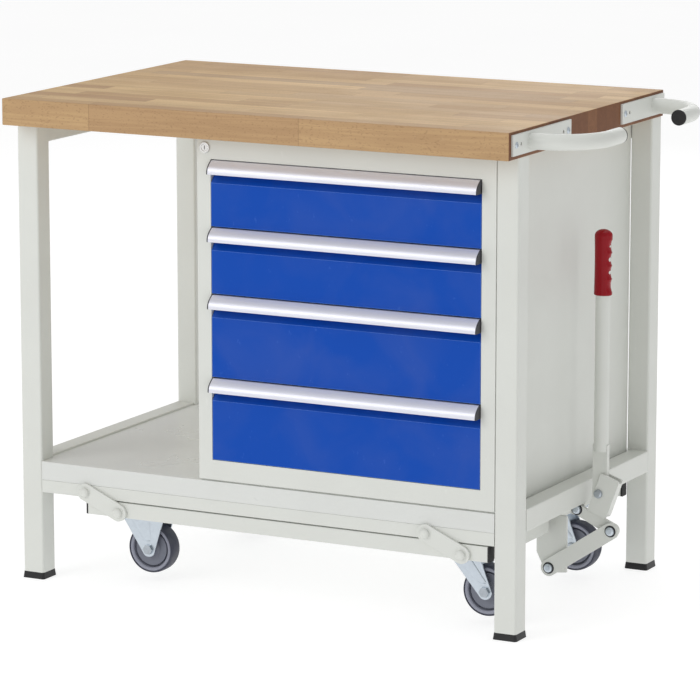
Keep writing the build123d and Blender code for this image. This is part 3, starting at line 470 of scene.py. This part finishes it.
def turned(profile, centre, turns=72, axis="Y"):
    # profile (radius, height) carried round an axis: point = centre + r cos a, r sin a across it, h along it
    angle = np.linspace(0, 2 * np.pi, turns, endpoint=False)
    radius = profile[:, 0][:, None]
    along = np.broadcast_to(profile[:, 1][:, None], (len(profile), turns))
    p, q = radius * np.cos(angle), radius * np.sin(angle)
    order = {"Y": (p, along, q), "X": (along, p, q), "Z": (p, q, along)}[axis]
    return np.stack(order, axis=-1) + np.asarray(centre)


# Castor wheels

wheelLook = {"tread": 0.0036, "crown": 0.0020, "ringInner": 0.0355, "groove": 0.0105,
             "dish": 0.0050, "hubRadius": 0.0125}


def buildWheel(node):
    # tyre, ring and hub are closed outlines of radius and width turned round the axle
    low, high = (np.array(v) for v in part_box(node))
    centre = (low + high) / 2
    radius = (high[2] - low[2]) / 2
    half = 0.016
    tread = radius - wheelLook["tread"]
    edge = np.linspace(-1, 1, 15)
    crown = np.stack([radius - wheelLook["crown"] * np.abs(edge) ** 4, edge * (half - 0.0002)],
                     axis=-1)
    flank = np.array([[radius - 0.0026, half - 0.0001], [tread + 0.0004, half - 0.0005],
                      [tread, half - 0.0012]])
    outline = np.vstack([crown, flank, (flank * [1, -1])[::-1]])
    tyre = gridMesh(node + "_tyre", turned(outline, centre, 96), materials["wheel_rubber"], node,
                    closedRows=True)
    ringInner = wheelLook["ringInner"]
    ring = softProfile([[tread, half - 0.002], [tread, -half + 0.002],
                        [tread - 0.002, -half + 0.0008],
                        [ringInner + 0.002, -half + 0.0012], [ringInner,
                                                              -half + 0.003], [ringInner,
                                                                               half - 0.003],
                        [ringInner + 0.002, half - 0.0012], [tread - 0.002,
                                                             half - 0.0008]], 0.0008)
    band = gridMesh(node + "_ring", turned(ring, centre, 96), wheelRingGrey, node, closedRows=True)
    dish, hub, groove = half - wheelLook["dish"], wheelLook["hubRadius"], half - wheelLook["groove"]
    bore = 0.0061
    side = [[ringInner, groove], [ringInner - 0.0028, groove], [ringInner - 0.0036, dish],
            [hub + 0.004, dish - 0.001],
            [hub, half - 0.002], [hub - 0.001, 0.0175], [bore, 0.0175]]
    disc = softProfile(side + [[r, -w] for r, w in reversed(side)], 0.0008)
    core = gridMesh(node + "_hub", turned(disc, centre, 96), wheelHubGrey, node, closedRows=True)
    for piece in (tyre, band, core):
        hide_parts(node)


for node in ("wheel_front_left", "wheel_front_right", "wheel_rear_left", "wheel_rear_right"):
    buildWheel(node)
print("wheels turned")


# Red grip of the lift lever

gripLook = {"fingers": 4, "depth": 0.0030, "topRound": 0.012, "collar": 0.005}


def buildLeverGrip():
    # section: an ellipse of half widths a, b; the +X side is pressed in by |sin| waves along the
    # height, four finger hollows between five ridges; both ends close on a rounded rim
    low, high = (np.array(v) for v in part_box("lever_grip"))
    centre = (low + high) / 2
    a, b = (high - low)[:2] / 2
    length = high[2] - low[2]
    t = np.linspace(0, 1, 161)[:, None]
    angle = np.linspace(0, 2 * np.pi, 72, endpoint=False)[None, :]
    span = np.clip((t * length - gripLook["collar"]) / (length - 0.018 - gripLook["collar"]), 0, 1)
    wave = np.abs(np.sin(np.pi * gripLook["fingers"] * span)) ** 0.8
    facing = np.clip(np.cos(angle), 0, 1) ** 1.5
    fromTop = np.clip((1 - t) * length / gripLook["topRound"], 0, 1)
    rim = np.sqrt(np.clip(1 - (1 - fromTop) ** 2, 0.0004, 1))
    fromFoot = np.clip(t * length / 0.002, 0, 1)
    rim = rim * (0.94 + 0.06 * np.sqrt(np.clip(1 - (1 - fromFoot) ** 2, 0, 1)))
    waist = 1 - 0.05 * np.sin(np.pi * t)
    across = a * rim * waist - gripLook["depth"] * wave * facing * rim
    x = centre[0] + np.cos(angle) * across
    y = centre[1] + np.sin(angle) * b * rim * waist * (1 - 0.05 * wave * facing)
    z = np.broadcast_to(low[2] + t * length, x.shape)
    piece = gridMesh("leverGripRed", np.stack([x, y, z], axis=-1), materials["red_grip"],
                     "hand_lever", caps=(True, True))
    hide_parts("lever_grip")


buildLeverGrip()
print("lever grip shaped")


# Washers under the heads of the pivot bolts

washerLook = {"radius": 0.0106, "hole": 0.0051, "thick": 0.00045}


def buildWasher(name, body, x, seat, z, way, finish):
    # a flat ring with rounded rims, turned round the bolt; it fills the gap under the head
    outer, hole, thick = (washerLook[k] for k in ("radius", "hole", "thick"))
    outline = softProfile([[outer, 0], [outer, thick * way], [hole, thick * way], [hole, 0]],
                          0.00015, 3)
    piece = gridMesh(name, turned(outline, (x, seat, z), 64), finish, body, closedRows=True)
    piece.data.set_sharp_from_angle(angle=math.radians(40))


domeLook = {"radius": 0.0086, "skirt": 0.0022, "rise": 0.0072}


def buildDome(name, body, x, seat, z, way):
    # a painted round head: radius r cos s and height skirt + (rise - skirt) sin s, closed at both ends
    s = np.linspace(0, np.pi / 2 * 0.97, 12)
    radius = np.concatenate([[0.93, 1.0], np.cos(s) ** 0.8]) * domeLook["radius"]
    skirt = domeLook["skirt"]
    height = np.concatenate([[0.0005, 0.0009], skirt + (domeLook["rise"] - skirt) * np.sin(s)])
    profile = np.stack([radius, height * way], axis=-1)
    gridMesh(name, turned(profile, (x, seat, z), 48), greyPaint, body, caps=(True, True))


linkNames = ("link_front_left", "link_front_right", "link_rear_left", "link_rear_right")
for link in linkNames:
    low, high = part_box(link)
    half = 0.016
    seat, way = (low[1], -1) if link.startswith("link_front") else (high[1], 1)
    buildWasher(link + "_upper_washer", "frame", low[0] + half, seat, high[2] - half, way,
                greyPaint)
    buildWasher(link + "_lower_washer", "carriage", high[0] - half, seat, low[2] + half, way,
                greyPaint)
    buildDome(link + "_upper_dome", "frame", low[0] + half, seat, high[2] - half, way)
    buildDome(link + "_lower_dome", "carriage", high[0] - half, seat, low[2] + half, way)
# the strut and crank bolts get the black washers, whose dark ring is painted shade under their heads
strutLow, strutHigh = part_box("push_strut")
buildWasher("strut_foot_washer", "carriage", strutLow[0] + 0.015, strutLow[1],
            strutLow[2] + 0.015, -1, shadeRingWasher)
buildWasher("strut_head_washer", "carriage", strutHigh[0] - 0.015, strutLow[1],
            strutHigh[2] - 0.015, -1, shadeRingWasher)
bracketLow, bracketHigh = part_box("crank_bracket")
buildWasher("crank_washer", "frame", bracketHigh[0] - 0.011, -0.006, bracketLow[2] + 0.012, -1,
            shadeRingWasher)
print("washers and domes laid")


# Pressed panels on the cheeks of the castor forks

panelLook = {"rise": 0.0016, "slope": 0.0045, "corner": 0.006, "sink": 0.0004}


def buildCheekPanel(name, body, corners, face, way):
    # rings of one outline drawn in towards its middle; height follows a smooth step from the rim,
    # h = rise * (3u^2 - 2u^3) with u the way in over the slope's width
    outline = softProfile(corners, panelLook["corner"], 8)
    middle = outline.mean(axis=0)
    size = np.linalg.norm(outline - middle, axis=1).mean()
    inward = np.concatenate([np.linspace(0, panelLook["slope"] / size, 9), [0.5, 0.9, 0.995]])
    u = np.clip(inward * size / panelLook["slope"], 0, 1)
    height = panelLook["rise"] * (3 * u ** 2 - 2 * u ** 3) - panelLook["sink"]
    grid = np.empty((len(inward), len(outline), 3))
    flat = outline + (middle - outline) * inward[:, None, None]
    grid[..., 0], grid[..., 2] = flat[..., 0], flat[..., 1]
    grid[..., 1] = (face + way * height)[:, None]
    piece = gridMesh(name, grid, materials["zinc_steel"], body, caps=(True, True))
    piece.data.set_sharp_from_angle(angle=math.radians(60))


def cheekCorners(low, high, axle, top, leftEdge, rightEdge):
    # the panel keeps a margin from each edge of the cheek that narrows towards the axle
    return [[low + leftEdge, top], [high - rightEdge, top], [axle + 0.007, 0.074],
            [axle - 0.009, 0.074]]


cheekOut = 0.022
for row, middle in (("front", -0.185), ("rear", 0.185)):
    plateLow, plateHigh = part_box("fixed_castor_forks")
    swivelLow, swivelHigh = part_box(f"swivel_fork_{row}")
    fixedAxle = sum(v[0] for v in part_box(f"wheel_{row}_left")) / 2
    swivelAxle = sum(v[0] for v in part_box(f"wheel_{row}_right")) / 2
    fixed = cheekCorners(plateLow[0], plateHigh[0], fixedAxle, 0.126, 0.018, 0.031)
    turning = cheekCorners(swivelLow[0], swivelLow[0] + 0.061, swivelAxle, 0.119, 0.011, 0.016)
    for side, way in (("near", -1), ("far", 1)):
        face = middle + way * cheekOut
        buildCheekPanel(f"fixed_panel_{row}_{side}", "carriage", fixed, face, way)
        buildCheekPanel(f"swivel_panel_{row}_{side}", f"swivel_fork_{row}", turning, face, way)
print("fork panels pressed")


# Drawer grips: an extruded strip with a rolled lower edge and fine grooves, and a plate on each end

gripStrip = {"thickness": 0.0022, "set": 0.010, "endPlate": 0.0022}


def buildDrawerGrip(number):
    # section in Y and Z: the face is a shallow arc from the back of the top edge out to the lip,
    # y = front + depth (1 - sin u)^1.6 with u from the top to the lip, and the inside follows it
    node = f"drawer_{number}_grip"
    body = f"drawer_{number}"
    low, high = (np.array(v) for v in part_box(node))
    reach = gripStrip["set"]
    u = np.linspace(0, 1, 22)
    faceY = low[1] + 0.0003 + (reach + 0.006) * (1 - np.sin(u * np.pi / 2)) ** 1.35
    faceZ = high[2] - 0.0006 - (high[2] - low[2] - 0.0014) * u
    face = np.stack([faceY, faceZ], axis=-1)
    lip = np.array([[low[1] + 0.0009, low[2] + 0.0001],
                    [low[1] + gripStrip["thickness"], low[2] + 0.0001]])
    inside = face[::-1] + [gripStrip["thickness"], 0.0]
    inside[:, 1] = np.minimum(inside[:, 1], high[2] - 0.0030)
    back = np.array([[high[1] - 0.002, high[2] - 0.003], [high[1] - 0.0001, high[2] - 0.003],
                     [high[1] - 0.0001, high[2] - 0.0002]])
    section = np.vstack([face, lip, inside, back])
    x = np.array([low[0] + gripStrip["endPlate"], high[0] - gripStrip["endPlate"]])
    grid = np.empty((2, len(section), 3))
    grid[..., 0] = x[:, None]
    grid[..., 1:] = section
    strip = gridMesh(f"drawerGrip{number}", grid, materials["grip_aluminium"], body, smooth=False)
    fillEnds(strip, len(section))
    strip.data.shade_smooth()
    strip.data.set_sharp_from_angle(angle=math.radians(30))
    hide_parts(node)
    plate = np.vstack([face + [-0.0002, 0.0], lip[:1], [[high[1] - 0.0002, low[2] + 0.0001]],
                       [[high[1] - 0.0002, high[2] - 0.0001]]])
    for side, start in (("left", low[0]), ("right", high[0] - gripStrip["endPlate"])):
        grid = np.empty((2, len(plate), 3))
        grid[..., 0] = np.array([start + 0.0001, start + gripStrip["endPlate"] - 0.0001])[:, None]
        grid[..., 1:] = plate
        piece = gridMesh(f"drawerGrip{number}_{side}_plate", grid, gripEndGrey, body, smooth=False)
        fillEnds(piece, len(plate))


def fillEnds(piece, count):
    # one flat polygon on each end of a two-row extrusion
    mesh = piece.data
    bm = bmesh.new()
    bm.from_mesh(mesh)
    bm.verts.ensure_lookup_table()
    bm.faces.new(bm.verts[:count])
    bm.faces.new(list(reversed(bm.verts[count:2 * count])))
    bmesh.ops.recalc_face_normals(bm, faces=bm.faces)
    bm.to_mesh(mesh)
    bm.free()


for number in (1, 2, 3, 4):
    buildDrawerGrip(number)
print("drawer grips drawn")


# Screws of the push handles

screwLook = {"head": 0.0058, "rise": 0.0024, "slot": 0.0009, "cross": 0.0036}


def buildScrewHead(name, y, z, seat):
    # a raised head: height = rise * cos of the way out; the cross recess is a dip where either
    # arm's distance is small, fading out at the arm's end
    angle = np.linspace(0, 2 * np.pi, 96, endpoint=False)[None, :]
    turn = rng.uniform(0, np.pi / 2)
    s = np.linspace(1.0, 0.0, 34)[:, None]
    radius = screwLook["head"] * s
    height = screwLook["rise"] * np.sqrt(np.clip(1 - 0.92 * s ** 2, 0, 1))
    p, q = radius * np.cos(angle - turn), radius * np.sin(angle - turn)
    inArm = np.minimum(np.abs(p), np.abs(q)) < screwLook["slot"]
    length = np.maximum(np.abs(p), np.abs(q)) < screwLook["cross"]
    dip = np.where(inArm & length, 0.0014, 0.0)
    x = seat + height - dip
    grid = np.stack([x, y + radius * np.cos(angle), z + radius * np.sin(angle)], axis=-1)
    foot = grid[:1].copy()
    foot[..., 0] = seat - 0.0001
    piece = gridMesh(name, np.vstack([foot, grid[:-1]]), materials["zinc_steel"], "frame",
                     caps=(True, True))
    piece.data.set_sharp_from_angle(angle=math.radians(40))
    return piece


screwLow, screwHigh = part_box("handle_screws")
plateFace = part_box("push_handle_front")[0][0] + 0.004
screwZ = (screwLow[2] + screwHigh[2]) / 2
heads = [buildScrewHead(f"handleScrew{i}", y, screwZ, plateFace)
         for i, y in enumerate((screwLow[1] + 0.006, -0.098, 0.149, screwHigh[1] - 0.006))]
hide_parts("handle_screws")
print("screws set")


# Camera, light and floor

view = {"place": (3.21525, -6.2596, 1.7806), "down": 10.899, "turn": 27.417, "lens": 202.9}

camera = bpy.data.objects.new("camera", bpy.data.cameras.new("camera"))
bpy.context.scene.collection.objects.link(camera)
camera.location = view["place"]
camera.rotation_euler = (math.radians(90 - view["down"]), 0, math.radians(view["turn"]))
camera.data.lens = view["lens"]
camera.data.sensor_width = 36
camera.data.clip_end = 60
bpy.context.scene.camera = camera

studio = {
    "keyLamp": ((-2.4, -4.2, 3.0), 3.0, 80.0),
    "stripLamp": ((4.2, -2.2, 1.6), 0.22, 9.0),
    "topLamp": ((0.3, 0.4, 4.4), 3.2, 30.0),
    "rearLamp": ((-1.0, 4.6, 2.6), 3.0, 42.0),
}
surround = {"light": 0.54, "seen": 1.0, "floorGlow": 0.76}


def addLamp(name, place, size, watts):
    lamp = bpy.data.lights.new(name, "AREA")
    lamp.shape = "RECTANGLE"
    lamp.size = size
    lamp.size_y = max(size, 2.4)
    lamp.energy = watts
    holder = bpy.data.objects.new(name, lamp)
    bpy.context.scene.collection.objects.link(holder)
    holder.location = place
    holder.rotation_euler = (Vector((-0.05, 0, 0.45)) - Vector(place)).to_track_quat("-Z",
                                                                                     "Y").to_euler()


for name, (place, size, watts) in studio.items():
    addLamp(name, place, size, watts)

world = bpy.data.worlds.new("studio")
bpy.context.scene.world = world
world.use_nodes = True
sky = world.node_tree.nodes["Background"]
sky.inputs["Color"].default_value = (1.0, 1.0, 1.0, 1)
direct = addNode(world.node_tree, "LightPath").outputs["Is Camera Ray"]
level = addNode(world.node_tree, "MapRange",
                {0: direct, 3: surround["light"], 4: surround["seen"]}).outputs[0]
world.node_tree.links.new(level, sky.inputs["Strength"])
bpy.context.scene.view_settings.view_transform = "Standard"


def buildFloor():
    # a wide plain sheet, its middle rows level with the feet
    span = np.linspace(-14, 14, 9)
    x, y = np.meshgrid(span, span, indexing="ij")
    grid = np.stack([x, y, np.full_like(x, -0.0004)], axis=-1)
    ids = np.arange(81).reshape(9, 9)
    quads = np.stack([ids[:-1, :-1], ids[1:, :-1], ids[1:, 1:], ids[:-1, 1:]],
                     axis=-1).reshape(-1, 4)
    mesh = bpy.data.meshes.new("floor")
    mesh.from_pydata(grid.reshape(-1, 3).tolist(), [], quads.tolist())
    floor = bpy.data.objects.new("floor", mesh)
    bpy.context.scene.collection.objects.link(floor)
    material, tree, shader = startMaterial("paleFloor")
    where = addNode(tree, "TexCoord").outputs["Object"]
    mottle = addNode(tree, "TexNoise", {"Vector": where, "Scale": 1.3, "Detail": 3.0}).outputs[0]
    tree.links.new(mixColour(tree, mottle, (0.34, 0.34, 0.34, 1), (0.37, 0.37, 0.37, 1)),
                   shader.inputs["Base Color"])
    shader.inputs["Roughness"].default_value = 0.9
    shader.inputs["Specular IOR Level"].default_value = 0.1
    shader.inputs["Emission Color"].default_value = (1.0, 1.0, 1.0, 1)
    shader.inputs["Emission Strength"].default_value = surround["floorGlow"]
    mesh.materials.append(material)


buildFloor()
print("studio lit")
